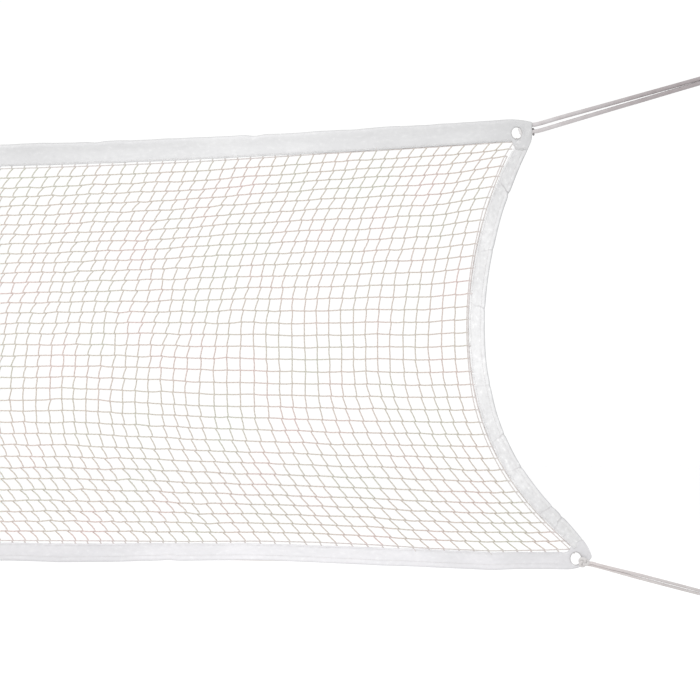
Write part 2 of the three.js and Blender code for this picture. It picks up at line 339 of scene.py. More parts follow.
class Nodes:
    """Short ways to build one material's nodes."""

    def __init__(self, name, **values):
        self.material = bpy.data.materials.new(name)
        self.material.use_nodes = True
        self.tree = self.material.node_tree
        self.shader = self.tree.nodes["Principled BSDF"]
        for key, value in values.items():
            self.shader.inputs[key.replace("_", " ")].default_value = value

    def add(self, kind, inputs=None, **settings):
        node = self.tree.nodes.new(kind)
        for key, value in settings.items():
            setattr(node, key, value)
        for key, value in (inputs or {}).items():
            if isinstance(value, bpy.types.NodeSocket):
                self.tree.links.new(value, node.inputs[key])
            else:
                node.inputs[key].default_value = value
        return node

    def coordinates(self, kind="Object"):
        return self.add("ShaderNodeTexCoord").outputs[kind]

    def scaled(self, vector, scale):
        return self.add("ShaderNodeMapping", {"Vector": vector, "Scale": scale}).outputs[0]

    def noise(self, vector, stretch, detail=3.0, roughness=0.5):
        inputs = {"Vector": self.scaled(vector, stretch), "Scale": 1.0}
        inputs.update({"Detail": detail, "Roughness": roughness})
        return self.add("ShaderNodeTexNoise", inputs).outputs["Fac"]

    def threads(self, place, axis):
        """Parallel threads of the weave, across that axis of the cloth."""
        per_metre = 1 / THREAD_PITCH
        scale = (per_metre, 0, 0) if axis == "X" else (0, per_metre, 0)
        inputs = {"Vector": self.scaled(place, scale), "Scale": WAVE_SCALE}
        return self.add("ShaderNodeTexWave", inputs, bands_direction=axis).outputs["Fac"]

    def math(self, operation, a, b=0.0):
        return self.add("ShaderNodeMath", {0: a, 1: b}, operation=operation).outputs[0]

    def ramp(self, factor, *stops):
        node = self.add("ShaderNodeValToRGB", {"Fac": factor})
        elements = node.color_ramp.elements
        while len(elements) < len(stops):
            elements.new(0.5)
        for element, (place, colour) in zip(elements, stops):
            element.position = place
            element.color = (*colour, 1)
        return node.outputs["Color"]

    def span(self, value, low, high, to_low, to_high):
        inputs = {"Value": value, 1: low, 2: high, 3: to_low, 4: to_high}
        return self.add("ShaderNodeMapRange", inputs).outputs[0]

    def mix(self, factor, a, b, blend_type="MIX"):
        node = self.add("ShaderNodeMix", data_type="RGBA", blend_type=blend_type)
        for socket, value in ((node.inputs[0], factor), (node.inputs[6], a), (node.inputs[7], b)):
            if isinstance(value, bpy.types.NodeSocket):
                self.tree.links.new(value, socket)
            else:
                socket.default_value = value if isinstance(value, float) else (*value, 1)
        return node.outputs[2]

    def times(self, shade, other):
        return self.mix(1.0, shade, other, "MULTIPLY")

    def bump(self, height, distance, strength=1.0, normal=None):
        inputs = {"Height": height, "Distance": distance, "Strength": strength}
        if normal is not None:
            inputs["Normal"] = normal
        return self.add("ShaderNodeBump", inputs).outputs[0]

    def connect(self, **sockets):
        for key, value in sockets.items():
            self.tree.links.new(value, self.shader.inputs[key.replace("_", " ")])
        return self.material


def tape_cloth(name, tint, crinkle, middle, painted_shading, creases=(), painted_fold_shade=0.6, worn=0.3):
    """White woven polyester tape: fine weave, soft creases and a slight satin sheen, with painted shade in
    its weave gaps, along its crease pattern, in its pressed folds and along its fold.
    The brightness table is (distance along the tape from its middle, brightness): painted light and shade
    along the tape. creases are (distance along, how far it slants, darkness) of folds pressed in across the
    tape, where darkness is the strength of their painted shade. The fold value sets how dark the painted
    shade along the fold is. worn is how strongly the cloth is mottled.
    """
    n = Nodes(name, Sheen_Weight=0.25, Sheen_Roughness=0.4)
    place = n.coordinates("UV")
    weave = n.math("MULTIPLY", *(n.threads(place, axis) for axis in "XY"))
    crease = n.noise(place, (18, 60, 1), 4.0, 0.6)
    patch = n.noise(place, (9, 9, 1), 2.0)
    fibre = n.noise(place, (400, 1500, 1), 2.0)
    shade = n.ramp(patch, (0.3, tint[0]), (0.7, tint[1]))
    # painted shade along the crease pattern
    shade = n.mix(n.span(crease, 0.35, 0.75, 0.0, 0.35), shade, tint[2])
    mottle = n.noise(place, (110, 160, 1), 3.0, 0.6)
    shade = n.mix(n.span(mottle, 0.5, 0.72, 0.0, worn), shade, tint[2])
    shade = n.mix(n.span(mottle, 0.44, 0.28, 0.0, worn), shade, (0.84, 0.84, 0.84))
    # painted shade in the gaps between the woven threads
    shade = n.mix(n.span(weave, 0.0, 0.5, 0.12, 0.0), shade, tint[2])
    apart = n.add("ShaderNodeSeparateXYZ", {0: place}).outputs
    # painted light and shade along the tape, brighter or darker by distance from its middle
    reach = painted_shading[-1][0]
    from_middle = n.math("ABSOLUTE", n.math("SUBTRACT", apart[0], middle))
    tone = n.ramp(n.math("DIVIDE", from_middle, reach), *((x / reach, (t, t, t)) for x, t in painted_shading))
    shade = n.times(shade, tone)
    # painted shade for the folded edge, mixed in below so the cloth darkens towards the fold
    fold_shade = n.times(shade, (painted_fold_shade, painted_fold_shade, painted_fold_shade + 0.01))
    for crease_line in creases:
        shade = pressed_fold(n, place, apart, shade, *crease_line)
    fold = n.span(n.math("ABSOLUTE", apart[1]), 1 * MM, 4.5 * MM, 0.8, 0.0)
    shade = n.mix(fold, shade, fold_shade)
    rough = n.span(crease, 0.3, 0.7, 0.42, 0.62)
    fine = n.bump(weave, 0.06 * MM, 0.5)
    fine = n.bump(fibre, 0.03 * MM, 0.4, fine)
    return n.connect(
        Base_Color=shade, Roughness=rough, Normal=n.bump(crease, crinkle, 0.6, fine)
    )


def pressed_fold(n, place, apart, shade, along, slant, dark):
    """Paints shade on a wandering line across the cloth, darker near its folded edge: the painted shade of
    a pressed fold.
    """
    wander = n.span(n.noise(place, (40, 120, 1), 3.0), 0.0, 1.0, -4 * MM, 4 * MM)
    deep = n.math("ABSOLUTE", apart[1])
    line = n.math("ADD", apart[0], n.math("MULTIPLY", deep, slant))
    off = n.math("ABSOLUTE", n.math("ADD", n.math("SUBTRACT", line, along), wander))
    fading = n.span(deep, 4 * MM, 26 * MM, dark, dark * 0.35)
    pressed = n.math("MULTIPLY", n.span(off, 0.3 * MM, 2.0 * MM, 1.0, 0.0), fading)
    # painted shade mixed in along the pressed fold
    return n.mix(pressed, shade, n.times(shade, (0.62, 0.6, 0.61)))


def twisted(name, colours, pitch, turns=3.0):
    """A laid twine: its strands wind round as they go along."""
    n = Nodes(name, Roughness=0.7, Sheen_Weight=0.15)
    place = n.coordinates("UV")
    wound = n.scaled(place, (turns, 1 / pitch, 1))
    inputs = {"Vector": wound, "Scale": WAVE_SCALE}
    lay = n.add("ShaderNodeTexWave", inputs, bands_direction="DIAGONAL").outputs["Fac"]
    where = n.coordinates("Object")
    tone = n.noise(where, (9, 9, 9), 3.0)
    fleck = n.noise(where, (700, 700, 700), 1.0)
    shade = n.ramp(tone, *colours)
    dark = n.times(shade, (0.72, 0.7, 0.68))
    # painted shade in the grooves between the laid strands
    shade = n.mix(n.span(lay, 0.0, 0.6, 0.6, 0.0), shade, dark)
    shade = n.mix(n.span(fleck, 0.4, 0.7, 0.0, 0.2), shade, dark)
    return n.connect(Base_Color=shade, Normal=n.bump(lay, 0.15 * MM, 0.7))


def braided(name, near, far, length):
    """A braided cord, greyer towards its eye. Its UV runs along the cord in metres."""
    n = Nodes(name, Roughness=0.72, Sheen_Weight=0.2)
    place = n.coordinates("UV")
    apart = n.add("ShaderNodeSeparateXYZ", {0: place}).outputs
    there = n.math("PINGPONG", apart[1], length / 2)
    shade = n.ramp(n.span(there, 0.0, length / 2, 0.0, 1.0), (0.0, near), (0.55, far), (1.0, far))
    fibre = n.noise(place, (60, 900, 1), 2.0)
    grime = n.noise(n.coordinates("Object"), (60, 60, 60), 3.0)
    dark = n.times(shade, (0.78, 0.74, 0.73))
    shade = n.mix(n.span(grime, 0.4, 0.75, 0.0, 0.5), shade, dark)
    shade = n.mix(n.span(fibre, 0.45, 0.75, 0.0, 0.25), shade, dark)
    return n.connect(Base_Color=shade, Normal=n.bump(fibre, 0.12 * MM, 0.5))


# Below, each tape's brightness table is painted light and shade along its length, and its fold value sets
# the painted shade along its folded edge.
HEAD_CLOTH = tape_cloth(
    "head_cloth", ((0.62, 0.62, 0.625), (0.68, 0.68, 0.685), (0.55, 0.55, 0.56)), 0.8 * MM, 1.53,
    ((0, 0.86), (0.7, 0.86), (1.05, 0.95), (1.39, 0.865), (1.53, 0.815)), painted_fold_shade=0.5,
)
FOOT_CLOTH = tape_cloth(
    "foot_cloth", ((0.62, 0.615, 0.63), (0.70, 0.69, 0.71), (0.55, 0.545, 0.56)), 1.2 * MM, 1.65,
    ((0, 0.89), (0.7, 0.89), (1.0, 1.06), (1.2, 1.04), (1.4, 0.985), (1.56, 0.915), (1.65, 0.915)),
)
SIDE_CLOTH = tape_cloth(
    "side_cloth", ((0.60, 0.60, 0.605), (0.69, 0.69, 0.695), (0.52, 0.515, 0.52)), 1.5 * MM, 0.0,
    ((0, 0.9), (0.1, 0.93), (0.3, 1.08), (0.42, 1.08), (0.6, 1.02), (0.82, 0.94)),
    [(side_far(z * MM), slant, dark) for z, slant, dark in SIDE_CREASES], painted_fold_shade=0.55, worn=0.6,
)
MESH_TWINE = twisted(
    "mesh_twine",
    ((0.3, (0.60, 0.48, 0.46)), (0.5, (0.55, 0.50, 0.45)), (0.7, (0.51, 0.51, 0.44))),
    4 * MM,
)
BORDER_TWINE = twisted(
    "border_twine", ((0.3, (0.58, 0.52, 0.51)), (0.7, (0.56, 0.54, 0.52))), 5 * MM
)
SEWING = twisted("sewing_thread", ((0.3, (0.62, 0.61, 0.61)), (0.7, (0.7, 0.69, 0.69))), 1.5 * MM)
RIM_THREAD = twisted("rim_thread", ((0.3, (0.5, 0.49, 0.49)), (0.7, (0.58, 0.57, 0.57))), 1.5 * MM)
# near-black thread for the painted shadow at the head tape's mouth
MOUTH_SHADOW_THREAD = twisted("painted_mouth_shadow", ((0.3, (0.2, 0.19, 0.19)), (0.7, (0.27, 0.26, 0.26))), 1.5 * MM)
WHIPPING = twisted("whipping_thread", ((0.3, (0.4, 0.36, 0.35)), (0.7, (0.46, 0.42, 0.41))), 2 * MM)


def dress(thing, material):
    thing.data.materials.clear()
    thing.data.materials.append(material)
    return thing


# ---- camera and cords -----------------------------------------------------------------------
VIEW_CENTRE = Vector((1195 * MM, 0, -365.6 * MM))
VIEW_WIDTH = 1270 * MM
LENS = 100.0

camera = placed("camera", bpy.data.cameras.new("camera"))
camera.data.lens = LENS
camera.data.sensor_width = 36
camera.data.clip_end = 100
camera.location = VIEW_CENTRE + Vector((0, -VIEW_WIDTH * LENS / 36, 0))
camera.rotation_euler = (math.pi / 2, 0, 0)
bpy.context.scene.camera = camera

# Each tie's pivot, slope and route at +X, along and across it, in millimetres, as in the frame.
TIES = {
    "head": {
        "pivot": (1533, 37.5),
        "slope": 16,
        "diameter": HEAD_CORD,
        "route": (
            (0, 6.3), (50, 6), (100, 5.5), (150, 5), (205, 4.6), (260, 4.2), (318, 3.9),
            (346, 3.9), (368, 10.5), (384, 14.8), (399, 13), (407, 0), (399, -13), (384, -14.8),
            (368, -10.5), (346, -3.9), (318, -3.9), (260, -4.2), (205, -4.7), (150, -5),
            (100, -5.5), (50, -6), (0, -6.2),
        ),
        "whipping": (320, 344),
        "body": "head",
        # the stretches inside the tape at the two ends, as (x, y, z)
        "lead_in": ((1517, 0, 43.2), (1524, 0, 43.1)),
        "lead_out": ((1526, 0, 30.4), (1519, 0, 27.2)),
    },
    "foot": {
        "pivot": (1637, -755),
        "slope": -14.6,
        "diameter": FOOT_CORD,
        "route": (
            (-4, -2.2, 1.4), (10, -2.0, 1.7), (24, -2.1, 1.6), (50, -2.5, 0.9), (80, -3, 0.2),
            (110, -3.1), (170, -3.1), (205, -2.9), (227, -2.8), (243, -7.6), (256, -11.2),
            (267, -9.5), (273, 0), (267, 9.5), (256, 11.2), (243, 7.6), (227, 2.8), (205, 2.9),
            (170, 3.1), (110, 3.1), (80, 3, -0.2), (50, 2.5, -0.9), (24, 2.1, -1.6),
            (10, 2.0, -1.7), (-4, 2.4, -1.6),
        ),
        "whipping": (207, 225),
        "body": "panel",
        "lead_in": ((1612, 0, -755.6), (1624, 0.6, -755)),
        "lead_out": ((1629.5, -3.4, -751.4), (1624.5, -7, -750.6)),
    },
}


def tie_point(tie, along, across, depth=0.0):
    angle = math.radians(tie["slope"])
    c, s = math.cos(angle), math.sin(angle)
    return (
        (tie["pivot"][0] + along * c - across * s) * MM,
        depth * MM,
        (tie["pivot"][1] + along * s + across * c) * MM,
    )


def mirrored(points, sign):
    points = np.array(points, float)
    points[:, 0] *= sign
    return points


def braid(line, diameter, sides, lobes=4, relief=0.1):
    """A braided cord's surface along a line: strands wind both ways and cross."""
    vertices, quads, uvs = tubes(line[None], diameter / 2, sides)
    wave = 2 * math.pi / (diameter * math.pi / lobes * 1.15)
    turn = 2 * math.pi * uvs[:, 0] * lobes
    one = np.sin(turn + wave * uvs[:, 1])
    other = np.sin(turn - wave * uvs[:, 1])
    high = np.maximum(one, other)
    centres = np.repeat(line, sides, axis=0)
    vertices = centres + (vertices - centres) * (1 - relief * 0.5 * (1 - high))[:, None]
    return vertices, quads, uvs


def capped(thing):
    """Closes the open ends of a tube mesh."""
    reworked(thing.data, lambda work: bmesh.ops.holes_fill(
        work, edges=[edge for edge in work.edges if edge.is_boundary], sides=0
    ))
    return thing


def whipping(name, tie, sign):
    """Thread wound round the tie's two strands, below its eye."""
    start, end = tie["whipping"]
    thread = 1.1
    turns = int((end - start) / thread)
    radius = tie["diameter"] / MM / 2 + 0.65
    apart = tie["diameter"] / MM / 2 + 0.25
    straight, arc = 4 * apart, 2 * math.pi * radius
    points = []
    for i in range(turns * 20 + 1):
        share = (i / 20) % 1 * (straight + arc)
        along = start + (end - start) * i / (turns * 20)
        if share < straight / 2:
            across, out = -apart + share, radius
        elif share < straight / 2 + arc / 2:
            angle = (share - straight / 2) / radius
            across, out = apart + radius * math.sin(angle), radius * math.cos(angle)
        elif share < straight + arc / 2:
            across, out = apart - (share - straight / 2 - arc / 2), -radius
        else:
            angle = (share - straight - arc / 2) / radius
            across, out = -apart - radius * math.sin(angle), -radius * math.cos(angle)
        x, _, z = tie_point(tie, along, across)
        points.append((x, -out * MM, z))
    return capped(make_mesh(name, *frame_tube(mirrored(points, sign), thread * 0.56 * MM, 6)))


def frame_tube(line, radius, sides, closed=False):
    """A tube along a line that may turn any way."""
    along = directions(line)
    if closed:
        along[0] = along[-1] = (line[1] - line[-2]) / np.linalg.norm(line[1] - line[-2])
    up = np.full_like(line, 0)
    up[0] = (0.31, 0.2, 0.93)
    for i in range(1, len(line)):
        up[i] = up[i - 1] - along[i] * np.dot(up[i - 1], along[i])
        up[i] /= np.linalg.norm(up[i])
    up[0] = up[1]
    right = np.cross(along, up)
    turn = (2 * math.pi * np.arange(sides) / sides)[None, :, None]
    rings = line[:, None] + radius * (np.cos(turn) * right[:, None] + np.sin(turn) * up[:, None])
    uvs = columns_of(np.arange(sides)[None, :] / sides, distances(line)[:, None]).reshape(-1, 2)
    return rings.reshape(-1, 3), ring_faces(len(line), sides), uvs


# Each tie's colour at its mouth, and by its eye.
TIE_COLOURS = {
    "head": ((0.52, 0.5, 0.505), (0.32, 0.29, 0.295)),
    "foot": ((0.57, 0.53, 0.525), (0.49, 0.465, 0.46)),
}
PUFF = {"head": 1.1, "foot": 1.1}  # the soft braid is a little fuller than its nominal size


def make_tie(kind, side):
    tie, sign = TIES[kind], SIDES[side]
    name = f"{kind}_tie_{side}"
    route = [np.array(p) * MM for p in tie["lead_in"]]
    route += [np.array(tie_point(tie, *p)) for p in tie["route"]]
    route += [np.array(p) * MM for p in tie["lead_out"]]
    line = mirrored(spline(route, tie["diameter"] / 7), sign)
    cord = capped(make_mesh(f"{name}_cord", *braid(line, tie["diameter"] * PUFF[kind], 24)))
    near, far = TIE_COLOURS[kind]
    length = float(distances(line)[-1])
    dress(cord, braided(f"{name}_braid", near, far, length))
    bound = whipping(f"{name}_whipping", tie, sign)
    dress(bound, WHIPPING)
    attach(bound, name)
    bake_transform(cord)
    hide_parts(name)
    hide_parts(f"{kind}_whipping_{side}")


for side in SIDES:
    for kind in TIES:
        make_tie(kind, side)

# ---- the netting ----------------------------------------------------------------------------
COLUMNS = 131
ROWS = 36
EDGE_LIFT = 7 * MM  # how far the rows rise beside the side tape
LIFT_REACH = 85 * MM  # and how far in from it they start to
ROW_SAW = 1.4 * MM  # how far each row steps back at a knot beside the side tapes
KNOT_STEP = 1.15 * MM  # how far a strand steps sideways through a knot
WAIST = 0.64  # how far down the uprights are drawn in most, as a share of the netting's depth
WAIST_PULL = 94 * MM
SIDE_PLACE = 1450 * MM  # the place along the net whose row pitch holds at its side
SIDE_REACH = 850 * MM  # from here outwards the uprights follow the net's side
CENTRE_REACH = 600 * MM  # within this the uprights ease to straight at mid-span
SETTLING = 12  # rounds in which the side's knots settle onto its curve
SWAY = 3.5 * MM
SWAY_EASE = (150 * MM, 120 * MM)  # the sway dies out over these, at the sides and at the tapes
SLACK_EDGES = (750 * MM, 1200 * MM)  # the mesh is slack up to the first and taut from the second
NET_SIDES = 5
KNOT_RADII = (1.9, 1.4, 1.5)  # along x, y and z, in millimetres

# Along the net: the border twine's gap below the head tape and above the foot tape.
HEAD_GAPS = ((0.9, 4.5), (1.15, 1.3))
FOOT_GAPS = (
    (0.9, 3.6), (1.03, 6.2), (1.14, 6.2), (1.25, 4.4), (1.34, 2), (1.45, 3), (1.55, 4.5), (1.59, 6),
)
# Along the net: how the row pitch swells down the net, as its skew and its size.
PITCH_SWELL = ((0.75, 2.1, 0.22), (0.92, 1.5, 0.26), (1.03, 1.2, 0.39), (1.2, 1.03, 0.49))


def net_height(x, down):
    """Height in the netting at x, from its top border at down = 0 to its bottom one at 1."""
    top = head_edge(x) - HEAD_TAPE - looked_up(np.abs(x), HEAD_GAPS) * MM
    bottom = foot_edge(x) + FOOT_TAPE + looked_up(np.abs(x), FOOT_GAPS) * MM
    return top + (bottom - top) * down


def row_places(x):
    """How far down each row line is at places x along the net, as (places, rows + 1)."""
    place, skew, swell = np.array(PITCH_SWELL).T
    x = np.abs(x)[:, None]
    middle = (np.arange(ROWS) + 0.5) / ROWS
    pitch = 1 + np.interp(x, place, swell) * np.sin(math.pi * middle ** np.interp(x, place, skew))
    return np.concatenate([np.zeros_like(x), np.cumsum(pitch, 1) / pitch.sum(1, keepdims=True)], 1)


def edge_lift(x, down):
    """How far the rows rise where they near the side tape's upper half."""
    inside = net_side_x(net_height(x, down)) - np.abs(x)
    return EDGE_LIFT * (1 - smoothstep(inside / LIFT_REACH)) * (1 - smoothstep((down - 0.1) / 0.55))


def eased_in(count, over):
    """A share for each line of the mesh: 0 at both borders, and 1 from that many lines in."""
    return np.minimum(1, np.minimum(np.arange(count + 1), np.arange(count, -1, -1)) / over)


def net_knots():
    """x and z of each knot, (columns + 1, rows + 1)."""
    edge_down = row_places(np.array([SIDE_PLACE]))[0]
    side_x = np.full(ROWS + 1, net_side_x(0))
    for _ in range(SETTLING):
        side_x = net_side_x(net_height(side_x, edge_down))
    reach = side_x[0]
    column = np.linspace(-reach, reach, COLUMNS + 1)[:, None]
    down = row_places(column[:, 0])
    pull = -WAIST_PULL * np.where(
        down < WAIST,
        np.sin(math.pi / 2 * np.minimum(down / WAIST, 1)),
        np.cos(math.pi / 2 * np.maximum((down - WAIST) / (1 - WAIST), 0)),
    )
    near_side = smoothstep((np.abs(column) - SIDE_REACH) / (reach - SIDE_REACH))
    off_centre = smoothstep(np.abs(column) / CENTRE_REACH)
    shift = near_side * (side_x - reach) + (1 - near_side) * off_centre * pull
    x = column + np.sign(column) * shift
    between = eased_in(ROWS, 2)[None]
    free = eased_in(COLUMNS, 4)[:, None] * between
    z = net_height(x, down) + edge_lift(x, down) * between
    x_wave = wobble(x, z, 0.10, 11) * 1.6 * MM + wobble(x, z, 0.3, 12) * 3.0 * MM
    z_wave = wobble(x, z, 0.12, 13) * 0.9 * MM
    draw = np.random.default_rng(5)
    uneven = 1 + 0.8 * slack(x)
    x = x + free * (x_wave + uneven * draw.normal(0, 0.45 * MM, x.shape))
    z = z + free * (z_wave + uneven * draw.normal(0, 0.35 * MM, z.shape))
    return x, z


def sway(x, z):
    """How far the netting leaves the net's plane."""
    at_sides, at_tapes = SWAY_EASE
    inside = smoothstep((net_side_x(z) - np.abs(x)) / at_sides)
    top, bottom = net_height(x, 0.0), net_height(x, 1.0)
    inside = inside * smoothstep((top - z) / at_tapes) * smoothstep((z - bottom) / at_tapes)
    return inside * wobble(x, z, 0.45, 21) * SWAY


def slack(x):
    """How loosely the mesh hangs, 0 to 1: it is slack towards mid-span."""
    slack_to, taut_from = SLACK_EDGES
    return 1 - smoothstep((np.abs(x) - slack_to) / (taut_from - slack_to))


def upright_lines(x, z):
    """The netting's upright strands: each steps sideways at its knots and curves between them."""
    lean = np.gradient(x, axis=1) / -np.gradient(z, axis=1)
    loose = slack(x)
    step = -KNOT_STEP * np.tanh(lean / 0.15) * (0.9 + 0.9 * np.minimum(np.abs(lean), 1) + loose)
    draw = np.random.default_rng(6)
    bow = draw.normal(0, 0.45 * MM, (COLUMNS + 1, ROWS))
    above_x, above_z = x[:, :-1] + step[:, :-1], z[:, :-1]
    below_x, below_z = x[:, 1:] - step[:, 1:], z[:, 1:]
    points = []
    for t in (0, 0.2, 0.5, 0.8, 1):
        points.append((
            above_x + (below_x - above_x) * (t + 0.14 * loose[:, 1:] * math.sin(math.pi * t))
            + bow * math.sin(math.pi * t),
            above_z + (below_z - above_z) * (0.04 + 0.92 * t),
        ))
    line_x = np.stack([p[0] for p in points], -1).reshape(COLUMNS + 1, -1)
    line_z = np.stack([p[1] for p in points], -1).reshape(COLUMNS + 1, -1)
    weave = np.where(np.arange(line_x.shape[1]) // 5 % 2, 0.45, -0.45) * MM
    return np.stack([line_x, sway(line_x, line_z) + weave, line_z], -1)


def row_lines(x, z):
    """The netting's rows, which bow a little between their knots."""
    draw = np.random.default_rng(8)
    bow = draw.normal(-0.35 * MM, 0.35 * MM, (COLUMNS, ROWS + 1))
    saw = ROW_SAW * (1 - smoothstep((net_side_x(z) - np.abs(x)) / 0.1))
    saw = np.sign(x[:-1]) * np.minimum(saw[:-1], saw[1:])
    points = []
    for t in (0.06, 0.3, 0.6, 0.94):
        points.append((
            x[:-1] + (x[1:] - x[:-1]) * t,
            z[:-1] + (z[1:] - z[:-1]) * t + bow * math.sin(math.pi * t) + saw * (t - 0.5),
        ))
    line_x = np.stack([p[0] for p in points], 1).reshape(-1, ROWS + 1)
    line_z = np.stack([p[1] for p in points], 1).reshape(-1, ROWS + 1)
    line_x = np.concatenate([line_x, x[-1:]]).T
    line_z = np.concatenate([line_z, z[-1:]]).T
    return np.stack([line_x, sway(line_x, line_z), line_z], -1)


def knot_ball(sides=6, rings=3):
    """A small round body as vertices and faces, its poles up and down."""
    polar = math.pi * np.arange(1, rings + 1) / (rings + 1)
    turn = 2 * math.pi * np.arange(sides) / sides
    round_points = [
        (math.sin(p) * math.cos(a), math.sin(p) * math.sin(a), math.cos(p)) for p in polar for a in turn
    ]
    last = 1 + rings * sides
    faces = []
    for k in range(sides):
        following = (k + 1) % sides
        faces.append((0, 1 + k, 1 + following, 1 + following))
        for low in range(1, 1 + (rings - 1) * sides, sides):
            faces.append((low + k, low + sides + k, low + sides + following, low + following))
        low = last - sides
        faces.append((low + k, last, low + following, low + following))
    return np.array([(0, 0, 1), *round_points, (0, 0, -1)]), np.array(faces)


def knot_mesh(name, x, z):
    """A small lumpy knot at each crossing."""
    draw = np.random.default_rng(9)
    ball, faces = knot_ball()
    x, z = x.ravel(), z.ravel()
    shape = ball[None] * draw.uniform(0.88, 1.12, (len(x), 1, 3)) * np.array(KNOT_RADII) * MM
    tilt = draw.uniform(-0.5, 0.5, len(x))[:, None]
    wide, thick, high = shape[..., 0], shape[..., 1], shape[..., 2]
    turned = columns_of(
        wide * np.cos(tilt) - high * np.sin(tilt), thick, wide * np.sin(tilt) + high * np.cos(tilt)
    )
    centres = np.stack([x, sway(x, z), z], -1)
    all_faces = faces[None] + (np.arange(len(x)) * len(ball))[:, None, None]
    return make_mesh(name, (turned + centres[:, None]).reshape(-1, 3), all_faces.reshape(-1, 4))


def hang(thing):
    """Bakes the piece's placement into its mesh."""
    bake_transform(thing)
    return thing


def netting():
    x, z = net_knots()
    uprights = upright_lines(x, z)[1:-1]
    rows = row_lines(x, z)[1:-1]
    middle = (COLUMNS + 1) // 2 - 1
    centre = rows.shape[1] // 2
    halves = {
        "left": (uprights[:middle], rows[:, : centre + 1], slice(1, middle + 1)),
        "right": (uprights[middle:], rows[:, centre:], slice(middle + 1, -1)),
    }
    for side, (upright, row, columns) in halves.items():
        pieces = [
            make_mesh(f"netting_uprights_{side}", *tubes(upright, TWINE / 2, NET_SIDES)),
            make_mesh(f"netting_rows_{side}", *tubes(row, TWINE / 2, NET_SIDES)),
            knot_mesh(f"netting_knots_{side}", x[columns, 1:-1], z[columns, 1:-1]),
        ]
        for piece in pieces:
            dress(piece, MESH_TWINE)
            hang(piece)
            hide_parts("netting")
    return x, z


LASHING_CLEARANCE = 19 * MM  # from a foot hole's middle
SIDE_LASHING = 6.5 * MM
SECOND_GAP = 1.2 * MM  # from a side tape to the second of its border twines
SECOND_ENDS = (-14 * MM, -722 * MM)


def lashings(line, into, draw):
    """Short twines from a border's line into the tape beside it, except close to a foot hole."""
    ticks = []
    for (px, _, pz), (ix, iz) in zip(line, into):
        if np.hypot(abs(px) - FOOT_HOLE[0], pz - FOOT_HOLE[1]) < LASHING_CLEARANCE:
            continue
        lean = draw.normal(0, 0.8 * MM)
        inner = np.array([px + ix + lean, 0, pz + iz])
        start = np.array([px, 0, pz])
        ticks.append(np.stack([start, (start + inner) / 2 + (0, -0.3 * MM, 0), inner]))
    return tubes(np.array(ticks), TWINE / 2, 6)


def border(name, line, into, draw, beside=()):
    """A border twine with its lashings, and the lines of the twines beside it."""
    line = flat_to_world(line)
    parts = [tubes(spline(line, 5 * MM)[None], SELVEDGE / 2, 8), lashings(line, into, draw)]
    parts += [tubes(other[None], SELVEDGE / 2, 8) for other in beside]
    return dress(make_mesh(name, *joined(parts)), BORDER_TWINE)


def borders(x, z):
    """The thicker twines round the netting, and the lashings that hold them in the tapes."""
    draw = np.random.default_rng(14)
    net = np.stack([x, z], -1)
    reach = BORDER_GAP + 3 * MM
    for end, body, edge, inner, way in (("head", "head", 0, 1, 1), ("foot", "panel", -1, -2, -1)):
        lean = (x[:, inner] - x[:, edge]) / (z[:, edge] - z[:, inner])
        into = [(-way * slope * reach, way * reach) for slope in lean]
        piece = border(f"{end}_border", net[:, edge], into, draw)
        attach(piece, body)
        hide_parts(f"{end}_selvedge")
    for side, sign in SIDES.items():
        into = [(sign * SIDE_LASHING, 0)] * (ROWS + 1)
        second = side_inset(SIDE_WIDTH + SECOND_GAP)
        kept = (second[:, 1] < SECOND_ENDS[0]) & (second[:, 1] > SECOND_ENDS[1])
        second = flat_to_world(resampled(second[kept] * (sign, 1), 6 * MM))
        edge = net[-1] if sign > 0 else net[0]
        piece = hang(border(f"side_border_{side}", edge, into, draw, [second]))
        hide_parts(f"side_selvedge_{side}")


net_x, net_z = netting()
borders(net_x, net_z)

# ---- tapes ----------------------------------------------------------------------------------
# Half of a tape's section, from its fold: how deep, and how far from the middle, both as a
# share of the bulge over the cord. The last places ease from the bulge to the flat cloth.
BULGE_DEPTH = np.array([0, 0.076, 0.293, 0.617, 1.0, 1.5, 2.3, 3.3, 4.3])
BULGE_OUT = np.array([0, 0.383, 0.707, 0.924, 1.0, 0.96, 0.55, 0.17, 0.0])
EASED = 6  # from here on BULGE_OUT is a share between flat and bulge
FLAT_STEPS = 6


